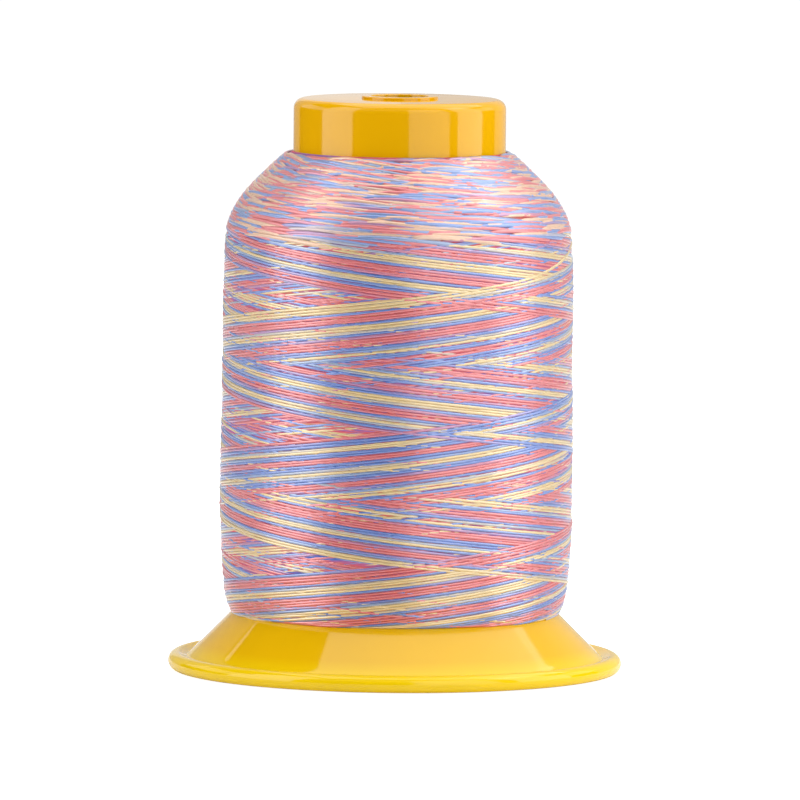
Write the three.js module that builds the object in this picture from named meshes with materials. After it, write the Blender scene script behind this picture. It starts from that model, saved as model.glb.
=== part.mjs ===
// A spool of woolly overlock thread: one hollow moulded spool and the thread wound on it.
// Millimetres, +Z up. The origin is the centre of the brim's underside, where the spool stands.
import * as THREE from 'three';

// Driving sizes of the moulded spool
const SPOOL_HEIGHT = 85.0; // standing plane to the top of the hub ring
const DECK_Z = 84.6; // flat top around the hub ring
const DECK_THICKNESS = 1.8;
const TUBE_RADIUS = 15.7; // core tube, bare above the thread as the collar
const TUBE_WALL = 1.5;
const COLLAR_ROUND = 1.5; // rounded top edge of the collar
const PIN_HOLE_RADIUS = 4.25;
const HUB_RING_RADIUS = 5.65;
const HUB_RING_CHAMFER = 0.2;

// The base flares at 45 degrees, so radius plus height is the same all along the cone.
const CONE_OUTSIDE_SUM = 32.65;
const CONE_INSIDE_SUM = 30.0;
const CONE_TOP_ROUND = 3.0; // fillet where the cone leaves the tube, under the thread
const CONE_FOOT = { r: 29.75, z: 2.9 }; // the cone runs straight down to this point
const BRIM_VALLEY = { r: 30.8, z: 2.0 }; // the dished top of the brim
const BRIM_VALLEY_BEND = { r: 30.55, z: 2.1 }; // where the cone and the valley would meet
const LIP_CENTRE = { r: 32.3, z: 1.15 }; // centre of the rounded lip's section
const LIP_ROUND = 1.3;
const LIP_INNER_ANGLE = 118; // degrees, where the lip's round meets the dished top
const STANDING_INNER_RADIUS = 31.0; // the standing ring runs from here out to the lip
const BRIM_UNDERSIDE_Z = 0.75;

// The thread clears the plastic by this much, measured square to the plastic.
const SEAT_GAP = 0.3;

// Outside of the winding, from its foot on the cone up to its top at the collar.
const WINDING_FOOT_RADIUS = 24.55;
const WINDING_SIDE = [
  { r: 25.2, z: 10.2 },
  { r: 25.75, z: 14.0 },
  { r: 26.15, z: 20.0 },
  { r: 26.25, z: 27.0 },
  { r: 26.05, z: 45.0 },
  { r: 25.85, z: 61.5 },
];
const WINDING_SHOULDER = [
  { r: 25.5, z: 65.3 },
  { r: 24.85, z: 67.3 },
  { r: 23.9, z: 69.1 },
  { r: 22.6, z: 70.9 },
  { r: 21.1, z: 72.5 },
  { r: 19.6, z: 74.0 },
  { r: 18.25, z: 75.3 },
];
const WINDING_TOP = { r: 16.8, z: 76.5 };
const WINDING_SECTION_STEPS = 22;

const SECTORS = 72; // facets around every turned shape
const ROUND_STEPS = 6; // chords in each rounded edge

const DIAGONAL = Math.SQRT2;
const WINDING_SEAT_SUM = CONE_OUTSIDE_SUM + SEAT_GAP * DIAGONAL;

const yellowPlastic = new THREE.MeshStandardMaterial({ color: 0xf0b400, roughness: 0.15, metalness: 0 });
const softThread = new THREE.MeshStandardMaterial({ color: 0xc9a0b4, roughness: 0.9, metalness: 0 });

function point(r, z) {
  return new THREE.Vector2(r, z);
}

// Points along a circular arc in the section plane, angles in degrees from the +R direction.
function arc(centre, radius, fromDegrees, toDegrees, steps = ROUND_STEPS) {
  const points = [];
  for (let step = 0; step <= steps; step += 1) {
    const angle = THREE.MathUtils.degToRad(fromDegrees + ((toDegrees - fromDegrees) * step) / steps);
    points.push(point(centre.r + radius * Math.cos(angle), centre.z + radius * Math.sin(angle)));
  }
  return points;
}

// Turns a closed section around +Z. The section runs up the outside and back down the inside.
function turned(name, section, material) {
  const closed = [...section, section[0].clone()];
  const geometry = new THREE.LatheGeometry(closed, SECTORS);
  geometry.rotateX(Math.PI / 2);
  const mesh = new THREE.Mesh(geometry, material);
  mesh.name = name;
  return mesh;
}

// The lip's round stops where it reaches the standing plane.
function lipSection() {
  const standingAngle = -THREE.MathUtils.radToDeg(Math.asin(LIP_CENTRE.z / LIP_ROUND));
  return arc(LIP_CENTRE, LIP_ROUND, standingAngle, LIP_INNER_ANGLE, 2 * ROUND_STEPS);
}

// From the dished brim up the small hollow at the foot of the cone.
function footSection() {
  const foot = new THREE.QuadraticBezierCurve(
    point(BRIM_VALLEY.r, BRIM_VALLEY.z),
    point(BRIM_VALLEY_BEND.r, BRIM_VALLEY_BEND.z),
    point(CONE_FOOT.r, CONE_FOOT.z),
  );
  return foot.getPoints(ROUND_STEPS);
}

// The hollow of the fillet between the 45 degree cone and the upright tube.
function coneTopSection() {
  const centreRadius = TUBE_RADIUS + CONE_TOP_ROUND;
  const centreHeight = CONE_OUTSIDE_SUM - centreRadius + CONE_TOP_ROUND * DIAGONAL;
  const towardCone = 225;
  const towardTube = 180;
  return arc({ r: centreRadius, z: centreHeight }, CONE_TOP_ROUND, towardCone, towardTube);
}

function collarSection() {
  const centre = { r: TUBE_RADIUS - COLLAR_ROUND, z: DECK_Z - COLLAR_ROUND };
  return arc(centre, COLLAR_ROUND, 0, 90);
}

function hubRingSection() {
  return [
    point(HUB_RING_RADIUS, DECK_Z),
    point(HUB_RING_RADIUS, SPOOL_HEIGHT - HUB_RING_CHAMFER),
    point(HUB_RING_RADIUS - HUB_RING_CHAMFER, SPOOL_HEIGHT),
    point(PIN_HOLE_RADIUS + HUB_RING_CHAMFER, SPOOL_HEIGHT),
    point(PIN_HOLE_RADIUS, SPOOL_HEIGHT - HUB_RING_CHAMFER),
  ];
}

// Back down through the pin hole, the inside of the tube and the inside of the flare.
function hollowSection() {
  const deckUnderside = DECK_Z - DECK_THICKNESS;
  const boreRadius = TUBE_RADIUS - TUBE_WALL;
  return [
    point(PIN_HOLE_RADIUS, deckUnderside),
    point(boreRadius, deckUnderside),
    point(boreRadius, CONE_INSIDE_SUM - boreRadius),
    point(CONE_INSIDE_SUM - BRIM_UNDERSIDE_Z, BRIM_UNDERSIDE_Z),
    point(STANDING_INNER_RADIUS, BRIM_UNDERSIDE_Z),
    point(STANDING_INNER_RADIUS, 0),
  ];
}

function spoolBody() {
  const section = [
    ...lipSection(),
    ...footSection(),
    ...coneTopSection(),
    ...collarSection(),
    ...hubRingSection(),
    ...hollowSection(),
  ];
  return turned('spool_body', section, yellowPlastic);
}

// One smooth curve from the winding's foot, up its side and over its shoulder.
function windingOutside() {
  const foot = { r: WINDING_FOOT_RADIUS, z: WINDING_SEAT_SUM - WINDING_FOOT_RADIUS };
  const knots = [foot, ...WINDING_SIDE, ...WINDING_SHOULDER, WINDING_TOP];
  const curve = new THREE.SplineCurve(knots.map((knot) => point(knot.r, knot.z)));
  return curve.getPoints(WINDING_SECTION_STEPS);
}

// The inside follows the tube and the cone, with the fillet between them cleared by a bevel.
function windingInside() {
  const inner = TUBE_RADIUS + SEAT_GAP;
  const bevelOuter = inner + CONE_TOP_ROUND / 2;
  return [
    point(inner, WINDING_TOP.z),
    point(inner, WINDING_SEAT_SUM - inner + CONE_TOP_ROUND),
    point(bevelOuter, WINDING_SEAT_SUM - bevelOuter),
  ];
}

function threadWinding() {
  return turned('thread_winding', [...windingOutside(), ...windingInside()], softThread);
}

const spool = new THREE.Group();
spool.add(spoolBody(), threadWinding());

export default spool;
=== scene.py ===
# A spool of woolly overlock thread, seen from the front and a little above.
# The glossy moulded spool is turned from its section. The thread is laid strand by strand along
# the path of a cross winder, and only the parts of it that show are made.
# The object's sizes are in millimetres until a mesh is made, and the studio's are in metres.
import math

import bpy
import numpy as np
from mathutils import Matrix, Vector


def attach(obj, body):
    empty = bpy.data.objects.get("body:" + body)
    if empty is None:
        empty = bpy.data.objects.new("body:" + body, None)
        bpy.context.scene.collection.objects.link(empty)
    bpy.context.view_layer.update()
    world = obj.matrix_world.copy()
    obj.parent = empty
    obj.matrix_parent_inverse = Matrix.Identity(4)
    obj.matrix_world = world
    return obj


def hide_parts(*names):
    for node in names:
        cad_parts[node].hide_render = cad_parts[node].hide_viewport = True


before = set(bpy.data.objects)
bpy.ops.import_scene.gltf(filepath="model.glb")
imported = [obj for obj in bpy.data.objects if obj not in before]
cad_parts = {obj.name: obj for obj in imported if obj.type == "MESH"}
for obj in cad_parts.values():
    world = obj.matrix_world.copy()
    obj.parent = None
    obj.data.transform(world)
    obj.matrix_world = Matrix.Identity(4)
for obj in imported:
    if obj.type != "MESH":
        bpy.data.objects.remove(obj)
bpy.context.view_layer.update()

MM = 0.001
FULL_TURN = 2 * math.pi
WHITE = (1, 1, 1, 1)
SEED = 11

# The moulded spool, as in the CAD model. A place in its section is (radius, height).
SPOOL_HEIGHT = 85.0
DECK_Z = 84.6
DECK_THICKNESS = 1.8
TUBE_RADIUS = 15.7
TUBE_WALL = 1.5
COLLAR_ROUND = 1.5
PIN_HOLE_RADIUS = 4.25
HUB_RING_RADIUS = 5.65
HUB_RING_ROUND = 0.18
CONE_OUTSIDE_SUM = 32.65  # radius plus height, which is the same all along the 45 degree cone
CONE_INSIDE_SUM = 30.0
CONE_TOP_ROUND = 3.0
CONE_RING_HEIGHTS = (3.1, 4.0, 6.0, 9.0, 12.0)
CONE_FOOT = (29.75, 2.9)
BRIM_VALLEY = (30.8, 2.0)
BRIM_VALLEY_BEND = (30.55, 2.1)
LIP_CENTRE = (32.3, 1.15)
LIP_ROUND = 1.3
LIP_INNER_ANGLE = 118
STANDING_INNER_RADIUS = 31.0
BRIM_UNDERSIDE_Z = 0.75
SPOOL_SEGMENTS = 288
SPOOL_SHARP_ANGLE = 35

# Outside of the winding: (radius, height) from its foot on the cone to its top at the collar
WINDING_PROFILE = [
    (24.55, 8.52), (25.2, 10.2), (25.75, 14.0), (26.15, 20.0), (26.25, 27.0), (26.05, 45.0),
    (25.85, 61.5), (25.5, 65.3), (24.85, 67.3), (23.9, 69.1), (22.6, 70.9), (21.1, 72.5),
    (19.6, 74.0), (18.25, 75.3), (16.8, 76.5), (15.95, 76.95),
]
PROFILE_POINTS = 600
SIDE_RADIUS = 25.9  # of the newest coats, to tell their length of thread
INNER_RADIUS = 16.0  # of the innermost coat

# The winder's path. The guide climbs one pitch in a turn and comes back after three turns up
# and three down, a little early, so that each strand lies beside the one before it. Turns are
# counted from where the last rise passes the front half way up, and older thread has less.
PITCH = 19.5
STRANDS_PER_PITCH = 47.6
CYCLE_TURNS = 6 - 1 / STRANDS_PER_PITCH
MIDDLE_Z = 37.2
TURNBACK = 0.03  # turns over which the guide slows down and comes back
FULL_LAPS = 2.0  # newest coats laid in full
LAID_TURNS = FULL_LAPS * STRANDS_PER_PITCH * CYCLE_TURNS
LAST_TURN = CYCLE_TURNS / 4 + 0.02  # the thread's end is tucked in just past the top
TURN_LENGTH = math.hypot(FULL_TURN * SIDE_RADIUS, PITCH)

# How unevenly the guide runs: spreads of height at its top, at its bottom and from pass to pass
TOP_SPREAD = 0.22
BOTTOM_SPREAD = 0.10
PASS_SPREAD = 0.045
END_SPREAD_TURNS = 0.12  # turns beside the top or bottom that its spread reaches
PASS_SPREAD_RISE = 6  # how fast a pass takes up its own height away from them
SPARE_CYCLES = 4  # heights drawn beyond the cycles that are laid

# The very last strand leaves its neighbours and rises by this much between these two turns
STRAY_RISE = 2.6
STRAY_LEAVES = 1.115
STRAY_SETTLES = 1.30

# The strands
STRAND_WIDTH = 0.46
STRAND_HEIGHT = 0.19
STRAND_STEP = 1.3  # distance between samples along a strand
CROSS_POINTS = 5
ARCH_OVERHANG = 0.12  # part of a half circle by which a strand's arch reaches down past each side
SEATED_SHARE = 0.75  # part of a strand's height that lies below the outline
COAT_THICKNESS = 0.13  # by which the outline grows in a lap
DIVE_DEPTH = 0.24  # how far a strand sinks where newer ones cross it
RIPPLES = [(0.02, 3.1, 0.0), (0.02, 7.7, 1.3)]  # waves of a strand's height along it

# The shoulder: arcs where older coats turn back, looser, flatter and wider
SHOULDER_LAPS = 19  # coats of thread that end on the shoulder
HIDDEN_LAPS = 0.25  # the newest of them, which the full strands already show
SHOULDER_START_Z = 65.3
SHOULDER_END_Z = 76.8
SHOULDER_WIDTH = 0.66
SHOULDER_STEP = 1.25  # about the distance between an arc's samples
LEAST_SHOULDER_POINTS = 6
SHOULDER_REACH = 9.5  # half the length of an arc, before its own factor
ARC_SPAN = (-0.5, 1.5)  # an arc's start and end beside its top, in reaches
TOP_TURN_SPREAD = 0.012  # how unevenly the arcs' tops lie around the axis, in turns
SHOULDER_SPREAD = 0.16  # and along the shoulder
LAYER_RANGE = (0.5, 1.0)  # depth of an arc, in strand heights
REACH_RANGE = (0.7, 1.15)  # factor on each arc's reach
BEND_RANGE = (0.8, 1.3)  # factor on how gently each arc turns back
FALL_DEPTH = 0.16  # how far an arc sinks away from its top
FALL_SPAN = (0.3, 1.5)  # where it sinks, in reaches from its top
TIP_SHARE = 0.3  # part of an arc's half over which its tip narrows
TIP_DEPTH = 0.10  # how much deeper a tip lies
TIP_WIDTH = 0.2  # width of a tip, beside 1 for the arc's middle
TIP_HEIGHT = 0.05  # height of a tip, in strand heights
ARC_HEIGHT = 1.10  # height of an arc's middle, in strand heights

# The bed: the older thread under the strands
BED_DEPTH = 0.10  # below the height of a strand
BED_POINTS = 90
BED_SEGMENTS = 144
BED_SHARP_ANGLE = 60
BED_TUBE_GAP = 0.02
BED_CONE_GAP = 0.45
BED_FOOT_WIDTH = 6.0  # from the tube to its first ring, on the cone
BED_TOP_RISE = 0.1  # to its last ring, at the collar

# The grid on which the strands are laid over one another, to find which of them shows
GRID_CELL = 0.1
GRID_STEP = 0.25  # distance along a strand between the places laid on the grid
GRID_BOTTOM = 8.0
GRID_TOP = 78.0
GRID_COLUMNS = int(FULL_TURN * SIDE_RADIUS / GRID_CELL)
GRID_ROWS = int((GRID_TOP - GRID_BOTTOM) / GRID_CELL)
COVERED_WIDTH = STRAND_WIDTH * 0.8  # a strand hides what lies under this much of it
SEEN_SHARE = 0.45  # part of that width that has to show
SHOWN_MARGIN = 3  # samples that are kept beyond what shows
DIVE_SAMPLES = 2  # samples on each side over which a strand dives

# The map that the bake uses, on which the strands lie end to end in rows
MAP_GAP = 0.02  # between two faces of a row
MAP_ROW_HEIGHT = STRAND_WIDTH * 1.9
MAP_SLACK = 1.03  # the map's side beside that of a square filled with such rows
MAP_MARGIN = 0.1  # part of a row left free below and above its strand

# Dye along one repeat of the thread, as (place in the repeat, colour)
CREAM = (0.74, 0.53, 0.21)
PEACH = (0.72, 0.34, 0.24)
CORAL = (0.70, 0.09, 0.105)
MAUVE = (0.36, 0.14, 0.36)
BLUE = (0.06, 0.165, 0.56)
PALE_BLUE = (0.19, 0.30, 0.53)
DYE_STOPS = [
    (0.00, CREAM), (0.19, CREAM), (0.25, PALE_BLUE), (0.29, BLUE), (0.39, BLUE), (0.425, MAUVE),
    (0.46, CORAL), (0.74, CORAL), (0.775, MAUVE), (0.81, BLUE), (0.90, BLUE), (0.95, PALE_BLUE),
    (1.00, CREAM),
]
DYE_REPEAT = 522.0  # length of thread from one cream stretch to the next
DYE_START = 0.723  # place in the repeat at turn 0
DYE_WANDER = [(0.035, 731.0, 1.0), (0.02, 213.0, 0.0), (0.04, 2010.0, 0.0)]  # waves along it

# On the shoulder the fibres of loose neighbours mix, which makes cream pinker and blue paler
LOOSE_COLOURS = {CREAM: (0.75, 0.43, 0.25), BLUE: (0.10, 0.22, 0.58)}
LOOSE_STOPS = [(place, LOOSE_COLOURS.get(colour, colour)) for place, colour in DYE_STOPS]

# How widely the strands' sheen spreads: on the taut strands, and on the looser ones of the shoulder
TAUT_SHEEN = 0.27
LOOSE_SHEEN = 0.45

# Fibres in a metre: along the strand, across it, and a third number that changes with the strand
FIBRE_SCALE = (900.0, 5200.0, 1.0)
STRAND_NUMBER_STEP = 7.3
STRAND_NUMBER_LIMIT = 97.0

# The bed's colours by the value of its mottle, and the shade that darkens them
BED_STOPS = [(0.30, BLUE), (0.42, MAUVE), (0.52, CORAL), (0.62, PEACH), (0.72, CREAM)]
BED_SHADE = (0.9, 0.85, 0.9, 1)
BED_MOTTLE_SCALE = (60.0, 60.0, 900.0)

# Colour of the moulding by height, with painted light: a glow of light through the thin brim is
# painted in, so the colour is lighter and yellower toward the bottom and darker toward the top
PLASTIC_STOPS_WITH_PAINTED_GLOW = [
    (0.0, (0.88, 0.60, 0.002)), (2.4, (0.87, 0.58, 0.002)), (4.0, (0.80, 0.460, 0.0015)),
    (13.0, (0.79, 0.443, 0.0015)), (SPOOL_HEIGHT, (0.76, 0.39, 0.001)),
]

# The photograph's viewpoint: far away, a little above, and leaning very slightly
CAMERA_DISTANCE = 1.6
CAMERA_HEIGHT = 0.17425
CAMERA_ASIDE = 0.00043
CAMERA_AIM_HEIGHT = 0.03995
CAMERA_LEAN = 0.0097
CAMERA_LENS = 488.5  # millimetres, for a 36 mm sensor

# Upright soft boxes and backdrops: name, azimuths, distance, bottom, top, radiance.
# Azimuth 0 is toward the camera, and positive azimuths are to the right.
UPRIGHT_LIGHTS = [
    ("left_box", (-92, -52), 0.62, 0.0, 1.0, 2.7),
    ("right_front_box", (10, 55), 0.66, 0.0, 1.0, 1.75),
    ("right_side_box", (65, 100), 0.62, 0.0, 1.0, 2.6),
    ("backdrop_far_left", (195, 221), 0.9, 0.0, 1.0, 0.4),
    ("backdrop_left", (180, 195), 0.9, 0.0, 1.0, 0.75),
    ("left_back_box", (-138, -92), 0.9, 0.25, 0.65, 1.2),
    ("right_back_box", (100, 126), 0.9, 0.25, 0.65, 1.4),
    ("backdrop_right", (125, 180), 0.9, 0.0, 1.0, 0.6),
]

# Lights overhead: name, place, point they face, width, depth, radiance
OVERHEAD_LIGHTS = [
    ("top_box_left", (-0.19, 0.24, 0.85), (-0.19, 0.24, 0.0), 0.37, 1.0, 2.1),
    ("top_box_right", (0.385, 0.24, 0.85), (0.385, 0.24, 0.0), 0.78, 1.0, 2.1),
    ("front_top_box", (0.0, -0.5, 0.62), (0.0, 0.0, 0.04), 1.1, 0.36, 0.3),
]

# The background and the table are bright for the camera and dim for everything else
BACKGROUND_GLOW = 1.05
ROOM_GLOW = 0.02
FLOOR_GLOW = 0.9
FLOOR_ROOM_GLOW = 0.06
FLOOR_COLOUR = (0.8, 0.8, 0.8, 1)
FLOOR_RADIUS = 0.85
FLOOR_SIDES = 96
FLOOR_Z = -0.0002

rng = np.random.default_rng(SEED)


def arc(centre, radius, start, end, steps):
    """Points on a circular arc in the section plane, angles in degrees from the outward direction."""
    angles = [math.radians(start + (end - start) * i / steps) for i in range(steps + 1)]
    return [(centre[0] + radius * math.cos(a), centre[1] + radius * math.sin(a)) for a in angles]


def bend(start, control, end, steps):
    """Points on a quadratic curve from start to end, drawn toward the control point."""
    points = []
    for i in range(steps + 1):
        t = i / steps
        weights = ((1 - t) ** 2, 2 * t * (1 - t), t * t)
        points.append(tuple(
            weights[0] * start[k] + weights[1] * control[k] + weights[2] * end[k] for k in (0, 1)
        ))
    return points


def lip_section():
    """The lip's round, from the standing plane up to the dished top of the brim."""
    standing_angle = -math.degrees(math.asin(LIP_CENTRE[1] / LIP_ROUND))
    return arc(LIP_CENTRE, LIP_ROUND, standing_angle, LIP_INNER_ANGLE, steps=26)


def cone_section():
    """Up the cone from its foot, and the fillet that turns it into the upright tube."""
    fillet_radius = TUBE_RADIUS + CONE_TOP_ROUND
    fillet_height = CONE_OUTSIDE_SUM - fillet_radius + CONE_TOP_ROUND * math.sqrt(2)
    toward_cone = 225
    toward_tube = 180
    section = bend(BRIM_VALLEY, BRIM_VALLEY_BEND, CONE_FOOT, steps=10)
    section += [(CONE_OUTSIDE_SUM - z, z) for z in CONE_RING_HEIGHTS]
    section += arc((fillet_radius, fillet_height), CONE_TOP_ROUND, toward_cone, toward_tube, steps=8)
    return section


def top_section():
    """The collar's rounded edge, the flat deck and the low ring around the pin hole."""
    collar_centre = (TUBE_RADIUS - COLLAR_ROUND, DECK_Z - COLLAR_ROUND)
    ring_outer = (HUB_RING_RADIUS - HUB_RING_ROUND, SPOOL_HEIGHT - HUB_RING_ROUND)
    ring_inner = (PIN_HOLE_RADIUS + HUB_RING_ROUND, SPOOL_HEIGHT - HUB_RING_ROUND)
    section = arc(collar_centre, COLLAR_ROUND, 0, 90, steps=12)
    section += [(HUB_RING_RADIUS, DECK_Z)]
    section += arc(ring_outer, HUB_RING_ROUND, 0, 90, steps=4)
    section += arc(ring_inner, HUB_RING_ROUND, 90, 180, steps=4)
    return section


def hollow_section():
    """Back down through the pin hole, the inside of the tube and the inside of the flare."""
    bore = TUBE_RADIUS - TUBE_WALL
    deck_underside = DECK_Z - DECK_THICKNESS
    return [
        (PIN_HOLE_RADIUS, deck_underside),
        (bore, deck_underside),
        (bore, CONE_INSIDE_SUM - bore),
        (CONE_INSIDE_SUM - BRIM_UNDERSIDE_Z, BRIM_UNDERSIDE_Z),
        (STANDING_INNER_RADIUS, BRIM_UNDERSIDE_Z),
        (STANDING_INNER_RADIUS, 0.0),
    ]


def spool_section():
    """The moulding's closed section, up the outside and back down the inside."""
    return lip_section() + cone_section() + top_section() + hollow_section()


def turned(name, section, segments, closed, sharp_angle):
    """An object made by turning a section around the spool's axis."""
    rings = np.array(section)
    angles = np.arange(segments) * FULL_TURN / segments
    x = rings[:, None, 0] * np.sin(angles)
    y = -rings[:, None, 0] * np.cos(angles)
    z = np.broadcast_to(rings[:, None, 1], x.shape)
    points = np.stack([x, y, z], axis=-1).reshape(-1, 3) * MM
    faces = []
    last = len(rings) if closed else len(rings) - 1
    for i in range(last):
        below = i * segments
        above = ((i + 1) % len(rings)) * segments
        for j in range(segments):
            k = (j + 1) % segments
            faces.append((below + j, below + k, above + k, above + j))
    mesh = bpy.data.meshes.new(name)
    mesh.from_pydata(points.tolist(), [], faces)
    mesh.shade_smooth()
    mesh.set_sharp_from_angle(angle=math.radians(sharp_angle))
    return added(name, mesh)


def added(name, data):
    """A new object in the scene."""
    thing = bpy.data.objects.new(name, data)
    bpy.context.scene.collection.objects.link(thing)
    return thing


class Nodes:
    """A small helper that adds shader nodes and joins them."""

    def __init__(self, name):
        self.material = bpy.data.materials.new(name)
        self.material.use_nodes = True
        self.tree = self.material.node_tree
        self.tree.nodes.clear()

    def add(self, kind, settings=None, **sockets):
        """A node with its settings, and its sockets fed by name with spaces as underscores."""
        node = self.tree.nodes.new(kind)
        for key, value in (settings or {}).items():
            setattr(node, key, value)
        for key, value in sockets.items():
            self.feed(node.inputs[key.replace("_", " ")], value)
        return node

    def feed(self, socket, value):
        """Links another node's output to a socket, or sets the socket to a plain value."""
        if isinstance(value, bpy.types.NodeSocket):
            self.tree.links.new(value, socket)
        else:
            socket.default_value = value

    def noise(self, vector, scale, detail=2.0, roughness=0.5):
        node = self.add("ShaderNodeTexNoise", Vector=vector, Scale=scale, Detail=detail,
                        Roughness=roughness)
        return node.outputs["Fac"]

    def spread(self, value, low, high, to_low=0.0, to_high=1.0):
        """Stretches the range low to high of a value over another range."""
        node = self.add("ShaderNodeMapRange")
        for index, number in enumerate((value, low, high, to_low, to_high)):
            self.feed(node.inputs[index], number)
        return node.outputs["Result"]

    def ramp(self, value, stops):
        node = self.add("ShaderNodeValToRGB", Fac=value)
        elements = node.color_ramp.elements
        while len(elements) < len(stops):
            elements.new(1.0)
        for element, (place, colour) in zip(elements, stops):
            element.position = place
            element.color = (*colour, 1.0)
        return node.outputs["Color"]

    def multiply(self, first, second):
        """Multiplies two colours. The node has several sockets of a name, so they go by number."""
        node = self.add("ShaderNodeMix", {"data_type": "RGBA", "blend_type": "MULTIPLY"})
        for index, value in ((0, 1.0), (6, first), (7, second)):
            self.feed(node.inputs[index], value)
        return node.outputs[2]

    def shaded(self, colour, value, low, high, darkest, lightest):
        """A colour made darker and lighter by a value that varies between low and high."""
        shade = self.spread(value, low, high, darkest, lightest)
        tone = self.add("ShaderNodeCombineColor", Red=shade, Green=shade, Blue=shade)
        return self.multiply(colour, tone.outputs["Color"])

    def bump(self, height, strength, distance):
        node = self.add("ShaderNodeBump", Height=height, Strength=strength, Distance=distance)
        return node.outputs["Normal"]

    def finish(self, shader):
        self.add("ShaderNodeOutputMaterial", Surface=shader.outputs[0])
        return self.material


def yellow_plastic():
    """Glossy moulded plastic with a faint flow variation, a slightly uneven skin and a painted glow,
    lighter and yellower toward the brim.
    """
    make = Nodes("moulded_yellow")
    place = make.add("ShaderNodeTexCoord").outputs["Object"]
    flow = make.noise(place, scale=45.0, detail=3.0)
    skin = make.noise(place, scale=120.0)
    up = make.add("ShaderNodeSeparateXYZ", Vector=place).outputs["Z"]
    height = make.spread(up, 0.0, SPOOL_HEIGHT * MM)
    # Painted glow: the colour by height stands in for light coming through the thin brim
    colour = make.ramp(height, [(z / SPOOL_HEIGHT, tint) for z, tint in PLASTIC_STOPS_WITH_PAINTED_GLOW])
    colour = make.shaded(colour, flow, low=0.3, high=0.7, darkest=0.96, lightest=1.03)
    roughness = make.spread(skin, low=0.3, high=0.7, to_low=0.05, to_high=0.10)
    relief = make.bump(skin, strength=0.25, distance=0.02 * MM)
    shader = make.add("ShaderNodeBsdfPrincipled", Base_Color=colour, Roughness=roughness, IOR=1.45,
                      Normal=relief)
    return make.finish(shader)


def thread_material(name, dye_stops, sheen_spread):
    """Soft textured thread whose colour follows the dye along its length."""
    make = Nodes(name)
    strand = make.add("ShaderNodeAttribute", {"attribute_name": "strand_place"}).outputs["Vector"]
    repeats = make.add("ShaderNodeAttribute", {"attribute_name": "dye"}).outputs["Fac"]
    dye = make.add("ShaderNodeMath", {"operation": "FRACT"}, Value=repeats).outputs["Value"]
    fibres = make.add("ShaderNodeMapping", Vector=strand, Scale=FIBRE_SCALE)
    crimp = make.noise(fibres.outputs["Vector"], scale=1.0, detail=3.0, roughness=0.6)
    colour = make.ramp(dye, dye_stops)
    colour = make.shaded(colour, crimp, low=0.25, high=0.75, darkest=0.82, lightest=1.12)
    relief = make.bump(crimp, strength=0.6, distance=0.06 * MM)
    shader = make.add("ShaderNodeBsdfPrincipled", Base_Color=colour, Metallic=0.3, Roughness=0.3,
                      IOR=1.5, Coat_Weight=1.0, Coat_IOR=2.5, Coat_Roughness=sheen_spread,
                      Normal=relief)
    return make.finish(shader)


def bed_material():
    """The older thread just under the strands that show: the same colours, mixed and in shade."""
    make = Nodes("thread_bed")
    place = make.add("ShaderNodeTexCoord").outputs["Object"]
    stretched = make.add("ShaderNodeMapping", Vector=place, Scale=BED_MOTTLE_SCALE)
    mottle = make.noise(stretched.outputs["Vector"], scale=1.0, detail=3.0)
    colour = make.multiply(make.ramp(mottle, BED_STOPS), BED_SHADE)
    relief = make.bump(mottle, strength=0.5, distance=0.1 * MM)
    shader = make.add("ShaderNodeBsdfPrincipled", Base_Color=colour, Roughness=0.8, IOR=1.5,
                      Normal=relief)
    return make.finish(shader)


class Profile:
    """The winding's outside as a smooth curve that can be read by height or by length along it."""

    def __init__(self, knots):
        knots = np.array(knots)
        chord = self.lengths(knots)
        fine = np.linspace(0, chord[-1], PROFILE_POINTS)
        slopes = np.gradient(knots, chord, axis=0)
        columns = [self.curve(fine, chord, knots[:, k], slopes[:, k]) for k in (0, 1)]
        self.points = np.stack(columns, axis=1)
        self.length = self.lengths(self.points)
        tangent = np.gradient(self.points, self.length, axis=0)
        tangent /= np.linalg.norm(tangent, axis=1)[:, None]
        self.normal = np.stack([tangent[:, 1], -tangent[:, 0]], axis=1)

    @staticmethod
    def lengths(points):
        """Length from the first point to each point, along the straight lines between them."""
        return np.concatenate([[0], np.cumsum(np.hypot(*np.diff(points, axis=0).T))])

    @staticmethod
    def curve(at, knots, values, slopes):
        """A cubic curve through the values with the given slopes."""
        index = np.clip(np.searchsorted(knots, at, side="right") - 1, 0, len(knots) - 2)
        width = knots[index + 1] - knots[index]
        t = (at - knots[index]) / width
        ends = (2 * t**3 - 3 * t**2 + 1) * values[index] + (3 * t**2 - 2 * t**3) * values[index + 1]
        lean = (t**3 - 2 * t**2 + t) * slopes[index] + (t**3 - t**2) * slopes[index + 1]
        return ends + lean * width

    def read(self, places, scale):
        """Radius, height and outward normal (radial, up) at places on one of the curve's scales."""
        radius, z = (np.interp(places, scale, self.points[:, k]) for k in (0, 1))
        normal = np.stack([np.interp(places, scale, self.normal[:, k]) for k in (0, 1)], axis=-1)
        return radius, z, normal

    def at_height(self, z):
        """Radius and outward normal at a height."""
        radius, _, normal = self.read(z, self.points[:, 1])
        return radius, normal

    def at_length(self, length):
        """Radius, height and outward normal at a length along the curve."""
        return self.read(length, self.length)

    def length_at(self, z):
        """Length along the curve at a height."""
        return np.interp(z, self.points[:, 1], self.length)


def smooth(value, low, high):
    """Rises softly from 0 at low to 1 at high."""
    t = np.clip((value - low) / (high - low), 0, 1)
    return t * t * (3 - 2 * t)


def waves(length, parts):
    """A sum of sine waves, each given as (size, length in one radian, phase)."""
    return sum(size * np.sin(length / reach + phase) for size, reach, phase in parts)


def dye_along(length):
    """Repeats of the dye up to a length of thread, which is negative for older thread."""
    return DYE_START + length / DYE_REPEAT + waves(length, DYE_WANDER)


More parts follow.
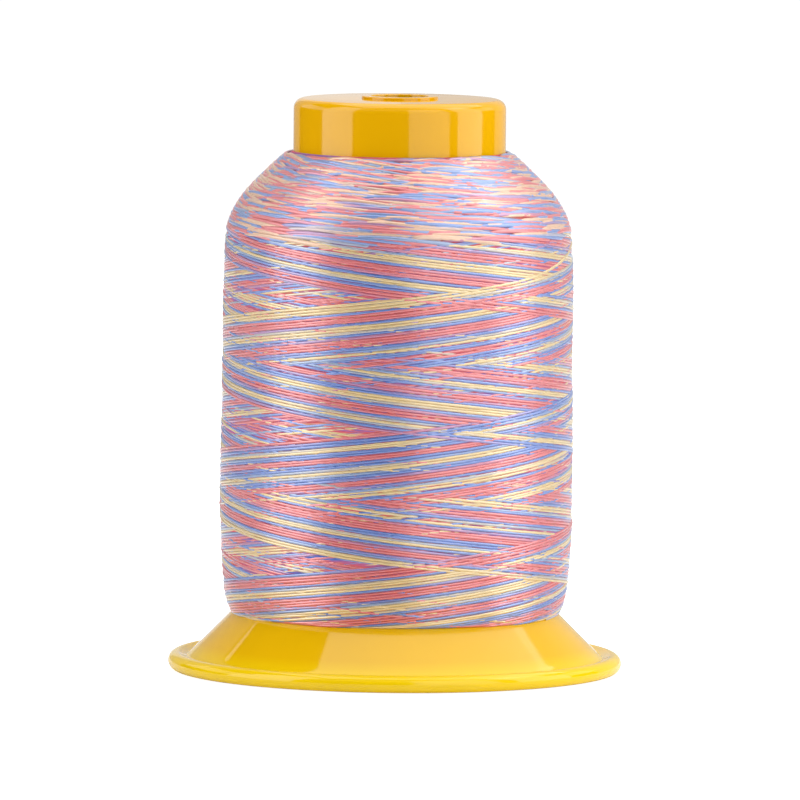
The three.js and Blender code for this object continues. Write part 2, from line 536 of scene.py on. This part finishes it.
def around_axis(turn, outward, up):
    """Places or directions in the section plane, carried round the axis by a number of turns."""
    angle = turn * FULL_TURN
    return np.stack([outward * np.sin(angle), -outward * np.cos(angle), up], axis=-1)


def stretches(flags):
    """Starts and ends of the runs of true values."""
    changes = np.diff(np.concatenate([[0], flags.astype(int), [0]]))
    return np.nonzero(changes)[0].reshape(-1, 2)


def widen(flags, count):
    """Makes every run of true values longer by a count on both sides."""
    wide = flags.copy()
    for shift in range(1, count + 1):
        wide[shift:] |= flags[:-shift]
        wide[:-shift] |= flags[shift:]
    return wide


def soften(values, reach):
    """The mean of each value and its neighbours within reach."""
    kernel = np.ones(2 * reach + 1) / (2 * reach + 1)
    return np.convolve(values, kernel, mode="same")


class Strands:
    """Runs of strand samples that become one mesh piece."""

    def __init__(self, name):
        self.name = name
        self.runs = []

    def add(self, centre, normal, along, dye, width, height):
        self.runs.append((centre, normal, along, dye, width, height))

    def build(self, material):
        """Sweeps a low arch along every run and joins the runs into one object."""
        centre, normal, along, dye, width, height = (
            np.concatenate(column) for column in zip(*self.runs)
        )
        counts = [len(run[0]) for run in self.runs]
        joined = np.ones(len(centre), bool)
        joined[np.cumsum(counts) - 1] = False
        starts = np.nonzero(joined)[0]
        angles = np.linspace(-ARCH_OVERHANG, 1 + ARCH_OVERHANG, CROSS_POINTS) * math.pi
        side = np.cross(normal, self.tangents(centre, joined))
        side /= np.linalg.norm(side, axis=1)[:, None]
        across = np.cos(angles)[None, :, None] * side[:, None] * width[:, None, None] / 2
        lift = np.sin(angles)[None, :, None] * normal[:, None] * height[:, None, None]
        points = (centre[:, None] + across + lift).reshape(-1, 3) * MM
        mesh = quad_mesh(self.name, points, self.faces(starts))
        places = self.strand_places(along, angles, counts)
        self.store(mesh, "dye", "FLOAT", "value", np.repeat(dye, CROSS_POINTS))
        self.store(mesh, "strand_place", "FLOAT_VECTOR", "vector", places)
        self.lay_out_map(mesh, centre, starts)
        mesh.materials.append(material)
        return added(self.name, mesh)

    @staticmethod
    def tangents(centre, joined):
        """Direction of the thread at each sample, from the samples before and after it."""
        step = np.zeros_like(centre)
        step[:-1] = centre[1:] - centre[:-1]
        step[~joined] = 0
        back = np.zeros_like(centre)
        back[1:] = step[:-1]
        total = step + back
        return total / np.maximum(np.linalg.norm(total, axis=1), 1e-9)[:, None]

    @staticmethod
    def faces(starts):
        """Lanes of faces from each sample that has a next one."""
        lanes = np.arange(CROSS_POINTS - 1)
        first = (starts[:, None] * CROSS_POINTS + lanes).ravel()
        after = first + CROSS_POINTS
        return np.stack([first, first + 1, after + 1, after], axis=1)

    @staticmethod
    def strand_places(along, angles, counts):
        """Where each point is on its strand: along it, across it, and a number for the strand."""
        across = np.tile(np.cos(angles) * STRAND_WIDTH * MM / 2, len(along))
        strand = np.repeat(np.arange(len(counts)), counts) * STRAND_NUMBER_STEP % STRAND_NUMBER_LIMIT
        columns = [np.repeat(along * MM, CROSS_POINTS), across, np.repeat(strand, CROSS_POINTS)]
        return np.stack(columns, axis=1)

    @staticmethod
    def store(mesh, name, kind, key, values):
        """Stores a value for every point of the mesh, under a name that the shader reads."""
        attribute = mesh.attributes.new(name, kind, "POINT")
        attribute.data.foreach_set(key, np.ascontiguousarray(values, np.float32).ravel())

    @staticmethod
    def lay_out_map(mesh, centre, starts):
        """Lays the strands side by side in rows on the map that the bake uses."""
        step = np.linalg.norm(centre[starts + 1] - centre[starts], axis=1)
        run = np.concatenate([[0], np.cumsum(step + MAP_GAP)])
        side = math.sqrt(run[-1] * MAP_ROW_HEIGHT) * MAP_SLACK
        rows = math.ceil(run[-1] / (side - 2 * STRAND_STEP)) + 1
        row_length = run[-1] / (rows - 1)
        row = np.floor(run[:-1] / row_length)
        u0 = (run[:-1] - row * row_length) / (row_length + 2 * STRAND_STEP)
        u1 = u0 + step / (row_length + 2 * STRAND_STEP)
        lane_height = (1 - 2 * MAP_MARGIN) / (CROSS_POINTS - 1)
        v0 = (row[:, None] + MAP_MARGIN + np.arange(CROSS_POINTS - 1) * lane_height) / rows
        v1 = v0 + lane_height / rows
        u0 = np.broadcast_to(u0[:, None], v0.shape)
        u1 = np.broadcast_to(u1[:, None], v0.shape)
        corners = [np.stack(corner, -1) for corner in ((u0, v0), (u0, v1), (u1, v1), (u1, v0))]
        layer = mesh.uv_layers.new(name="OFBake")
        values = np.ascontiguousarray(np.stack(corners, axis=2), np.float32)
        layer.data.foreach_set("uv", values.ravel())


def quad_mesh(name, points, quads):
    """A smooth mesh from an array of points and an array of four-cornered faces."""
    mesh = bpy.data.meshes.new(name)
    mesh.vertices.add(len(points))
    mesh.vertices.foreach_set("co", np.ascontiguousarray(points, np.float32).ravel())
    mesh.loops.add(quads.size)
    mesh.loops.foreach_set("vertex_index", np.ascontiguousarray(quads, np.int32).ravel())
    mesh.polygons.add(len(quads))
    mesh.polygons.foreach_set("loop_start", np.arange(len(quads), dtype=np.int32) * 4)
    mesh.polygons.foreach_set("loop_total", np.full(len(quads), 4, np.int32))
    mesh.update(calc_edges=True)
    mesh.shade_smooth()
    return mesh


def guide_unevenness():
    """Random heights for each cycle's top and bottom and for each pass, in millimetres."""
    cycles = int(LAID_TURNS / CYCLE_TURNS) + SPARE_CYCLES
    return {
        "top": rng.normal(0, TOP_SPREAD, cycles),
        "bottom": rng.normal(0, BOTTOM_SPREAD, cycles),
        "pass": rng.normal(0, PASS_SPREAD, 2 * cycles),
    }


def stray_end(turn):
    """The very last strand leaves its neighbours a little way before it is tucked in at the top."""
    return STRAY_RISE * smooth(turn, STRAY_LEAVES, STRAY_SETTLES)


def thread_path(turn, uneven):
    """Height of the thread at each turn, whether it is rising, and the number of its pass."""
    quarter = CYCLE_TURNS / 4
    cycle = np.floor((turn + quarter) / CYCLE_TURNS).astype(int)
    from_top = turn - (cycle * CYCLE_TURNS + quarter)
    rising = from_top < 0
    to_top = np.abs(from_top)
    to_bottom = 2 * quarter - to_top
    upper = MIDDLE_Z + PITCH * quarter - PITCH * np.sqrt(to_top**2 + TURNBACK**2)
    lower = MIDDLE_Z - PITCH * quarter + PITCH * np.sqrt(to_bottom**2 + TURNBACK**2)
    z = np.where(to_top < quarter, upper, lower)
    tops = uneven["top"][cycle % len(uneven["top"])]
    bottoms = uneven["bottom"][(cycle + (from_top > 0)) % len(uneven["bottom"])]
    passes = uneven["pass"][(2 * cycle + rising) % len(uneven["pass"])]
    z += tops * np.exp(-(to_top / END_SPREAD_TURNS) ** 2)
    z += bottoms * np.exp(-(to_bottom / END_SPREAD_TURNS) ** 2)
    z += passes * np.tanh(np.minimum(to_top, to_bottom) * PASS_SPREAD_RISE)
    return z + stray_end(turn), rising, 2 * cycle + ~rising


def grid_cells(turn, z):
    """The grid cells that a strand covers at each of its samples."""
    column = np.floor((turn % 1.0) * GRID_COLUMNS).astype(int) % GRID_COLUMNS
    reach = int(round(COVERED_WIDTH / 2 / GRID_CELL))
    offsets = np.arange(-reach, reach + 1)
    row = np.floor((z - GRID_BOTTOM) / GRID_CELL).astype(int)
    rows = np.clip(row[:, None] + offsets, 0, GRID_ROWS - 1)
    return rows, np.broadcast_to(column[:, None], rows.shape)


def newest_on_grid(uneven):
    """The number of the newest pass in every cell of the grid."""
    turn = np.arange(-LAID_TURNS, LAST_TURN, GRID_STEP / TURN_LENGTH)
    z, _, number = thread_path(turn, uneven)
    nothing_laid = number.min() - 1
    grid = np.full((GRID_ROWS, GRID_COLUMNS), nothing_laid)
    rows, columns = grid_cells(turn, z)
    for newest in np.unique(number):
        chosen = number == newest
        grid[rows[chosen], columns[chosen]] = newest
    return grid


def lay_strands(profile):
    """The newest coats: both crossing families, with what newer strands hide left out."""
    uneven = guide_unevenness()
    grid = newest_on_grid(uneven)
    turn = np.arange(-LAID_TURNS, LAST_TURN, STRAND_STEP / TURN_LENGTH)
    z, rising, number = thread_path(turn, uneven)
    rows, columns = grid_cells(turn, z)
    seen = (grid[rows, columns] == number[:, None]).mean(axis=1)
    shown = seen > SEEN_SHARE
    level = soften(shown.astype(float), DIVE_SAMPLES)
    age = -turn / CYCLE_TURNS / STRANDS_PER_PITCH
    length = turn * TURN_LENGTH
    radius, normal = profile.at_height(z)
    radius = radius - STRAND_HEIGHT * SEATED_SHARE - COAT_THICKNESS * age - DIVE_DEPTH * (1 - level)
    radius = radius + waves(length, RIPPLES)
    samples = [
        around_axis(turn, radius, z),
        around_axis(turn, normal[:, 0], normal[:, 1]),
        length,
        dye_along(length),
        np.full(len(turn), STRAND_WIDTH),
        np.full(len(turn), STRAND_HEIGHT),
    ]
    families = [(Strands("thread_rising"), rising), (Strands("thread_falling"), ~rising)]
    for start, end in stretches(widen(shown, SHOWN_MARGIN)):
        for piece, member in families:
            for a, b in stretches(member[start:end]):
                if b - a < 2:
                    continue
                part = slice(start + a, min(start + b + 1, end))
                piece.add(*(column[part] for column in samples))
    return [piece for piece, _ in families]


def lay_shoulder(profile):
    """Where older coats turn back: short arcs, each sinking under the newer ones at its ends."""
    piece = Strands("thread_shoulder")
    start_length = profile.length_at(SHOULDER_START_Z)
    end_length = profile.length_at(SHOULDER_END_Z)
    arcs = int(SHOULDER_LAPS * STRANDS_PER_PITCH)
    coat_radius = SIDE_RADIUS - (SIDE_RADIUS - INNER_RADIUS) * np.arange(arcs) / arcs
    thread_length = np.cumsum(CYCLE_TURNS * np.hypot(FULL_TURN * coat_radius, PITCH))
    for number in range(int(HIDDEN_LAPS * STRANDS_PER_PITCH), arcs):
        top_turn = CYCLE_TURNS / 4 - number * CYCLE_TURNS + rng.normal(0, TOP_TURN_SPREAD)
        along_shoulder = start_length + (end_length - start_length) * number / arcs
        along_shoulder += rng.normal(0, SHOULDER_SPREAD)
        layer = STRAND_HEIGHT * rng.uniform(*LAYER_RANGE)
        reach = SHOULDER_REACH * rng.uniform(*REACH_RANGE)
        radius, top_z, _ = profile.at_length(along_shoulder)
        slope = PITCH / (FULL_TURN * radius)
        bend_reach = TURNBACK * FULL_TURN * radius * rng.uniform(*BEND_RANGE)
        steps = max(LEAST_SHOULDER_POINTS, int(2 * reach / SHOULDER_STEP))
        x = np.linspace(ARC_SPAN[0] * reach, ARC_SPAN[1] * reach, steps)
        z = top_z - slope * (np.sqrt(x**2 + bend_reach**2) - bend_reach)
        turn = top_turn + x / (FULL_TURN * radius)
        length = x - thread_length[number]
        surface, normal = profile.at_height(z)
        taper = smooth(1 - np.abs(np.linspace(-1, 1, steps)), 0.0, TIP_SHARE)
        fall = smooth(np.abs(x) / reach, *FALL_SPAN)
        depth = layer + FALL_DEPTH * fall + TIP_DEPTH * (1 - taper)
        centre = around_axis(turn, surface - depth * normal[:, 0], z - depth * normal[:, 1])
        outward = around_axis(turn, normal[:, 0], normal[:, 1])
        width = SHOULDER_WIDTH * (TIP_WIDTH + (1 - TIP_WIDTH) * taper)
        height = STRAND_HEIGHT * (TIP_HEIGHT + (ARC_HEIGHT - TIP_HEIGHT) * taper)
        piece.add(centre, outward, length, dye_along(length), width, height)
    return piece


def winding_bed(profile):
    """The surface of the older thread, just under the strands that show."""
    radius, z, normal = profile.at_length(np.linspace(0, profile.length[-1], BED_POINTS))
    depth = STRAND_HEIGHT + BED_DEPTH
    outside = [(r - depth * n[0], h - depth * n[1]) for r, h, n in zip(radius, z, normal)]
    inner = TUBE_RADIUS + BED_TUBE_GAP
    top = (inner, outside[-1][1] + BED_TOP_RISE)
    foot_radius = inner + BED_FOOT_WIDTH
    foot = (foot_radius, CONE_OUTSIDE_SUM + BED_CONE_GAP - foot_radius)
    return turned("thread_bed", [foot, *outside, top], BED_SEGMENTS, closed=False,
                  sharp_angle=BED_SHARP_ANGLE)


def upright_light(name, azimuths, distance, bottom, top, radiance):
    """A soft light that fills a range of azimuths and faces the spool's axis."""
    middle = math.radians(sum(azimuths) / 2)
    half_angle = math.radians((azimuths[1] - azimuths[0]) / 2)
    width = 2 * distance * math.tan(half_angle)
    middle_z = (top + bottom) / 2
    place = (distance * math.sin(middle), -distance * math.cos(middle), middle_z)
    area_light(name, place, (0.0, 0.0, middle_z), width, top - bottom, radiance)


def area_light(name, place, aim, width, height, radiance):
    """A rectangular soft light that the camera doesn't see."""
    data = bpy.data.lights.new(name, "AREA")
    data.shape = "RECTANGLE"
    data.size = width
    data.size_y = height
    data.energy = math.pi * width * height * radiance
    light = added(name, data)
    light.location = place
    light.rotation_euler = (Vector(aim) - Vector(place)).to_track_quat("-Z", "Y").to_euler()
    light.visible_camera = False


def studio_lights():
    """Soft boxes at both sides, two large ones overhead, a faint one in front, a lit backdrop."""
    for light in UPRIGHT_LIGHTS:
        upright_light(*light)
    for light in OVERHEAD_LIGHTS:
        area_light(*light)


def lit_world():
    """White behind the object for the camera, and a dim room for reflections and fill."""
    world = bpy.data.worlds.new("studio_room")
    bpy.context.scene.world = world
    world.use_nodes = True
    tree = world.node_tree
    tree.nodes.clear()
    path = tree.nodes.new("ShaderNodeLightPath")
    choose = tree.nodes.new("ShaderNodeMixShader")
    tree.links.new(path.outputs["Is Camera Ray"], choose.inputs["Fac"])
    for index, strength in ((1, ROOM_GLOW), (2, BACKGROUND_GLOW)):
        glow = tree.nodes.new("ShaderNodeBackground")
        glow.inputs["Color"].default_value = WHITE
        glow.inputs["Strength"].default_value = strength
        tree.links.new(glow.outputs[0], choose.inputs[index])
    output = tree.nodes.new("ShaderNodeOutputWorld")
    tree.links.new(choose.outputs[0], output.inputs["Surface"])


def table_material():
    """White, and lit enough in the picture that hardly any shadow shows on it."""
    make = Nodes("white_table")
    diffuse = make.add("ShaderNodeBsdfDiffuse", Color=FLOOR_COLOUR)
    seen = make.add("ShaderNodeLightPath").outputs["Is Camera Ray"]
    strength = make.spread(seen, 0.0, 1.0, FLOOR_ROOM_GLOW, FLOOR_GLOW)
    glow = make.add("ShaderNodeEmission", Color=WHITE, Strength=strength)
    both = make.add("ShaderNodeAddShader")
    for index, shader in enumerate((diffuse, glow)):
        make.feed(both.inputs[index], shader.outputs[0])
    return make.finish(both)


def pale_floor():
    """A round white table top."""
    angles = [FULL_TURN * i / FLOOR_SIDES for i in range(FLOOR_SIDES)]
    rim = [(FLOOR_RADIUS * math.cos(a), FLOOR_RADIUS * math.sin(a), 0) for a in angles]
    mesh = bpy.data.meshes.new("floor")
    mesh.from_pydata(rim, [], [tuple(range(FLOOR_SIDES))])
    mesh.materials.append(table_material())
    floor = added("floor", mesh)
    floor.location.z = FLOOR_Z


def photo_camera():
    """A long lens at the photograph's viewpoint."""
    data = bpy.data.cameras.new("camera")
    data.sensor_width = 36.0
    data.lens = CAMERA_LENS
    data.clip_end = 20.0
    camera = added("camera", data)
    pitch = math.atan2(CAMERA_HEIGHT - CAMERA_AIM_HEIGHT, CAMERA_DISTANCE)
    place = Matrix.Translation((CAMERA_ASIDE, -CAMERA_DISTANCE, CAMERA_HEIGHT))
    turned_up = Matrix.Rotation(math.pi / 2 - pitch, 4, "X")
    camera.matrix_world = place @ turned_up @ Matrix.Rotation(CAMERA_LEAN, 4, "Z")
    bpy.context.scene.camera = camera


def build_spool():
    """The yellow moulding."""
    spool = turned("moulded_spool", spool_section(), SPOOL_SEGMENTS, closed=True,
                   sharp_angle=SPOOL_SHARP_ANGLE)
    spool.data.materials.append(yellow_plastic())
    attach(spool, "root")
    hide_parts("spool_body")


def build_winding():
    """The thread: both families of taut strands, the looser shoulder and the bed under them."""
    profile = Profile(WINDING_PROFILE)
    taut = thread_material("woolly_thread", DYE_STOPS, TAUT_SHEEN)
    loose = thread_material("woolly_thread_loose", LOOSE_STOPS, LOOSE_SHEEN)
    pieces = [strands.build(taut) for strands in lay_strands(profile)]
    pieces.append(lay_shoulder(profile).build(loose))
    bed = winding_bed(profile)
    bed.data.materials.append(bed_material())
    for piece in (*pieces, bed):
        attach(piece, "root")
        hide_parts("thread_winding")


photo_camera()
build_spool()
build_winding()
pale_floor()
studio_lights()
lit_world()
bpy.context.scene.view_settings.view_transform = "Standard"

bpy.context.view_layer.update()
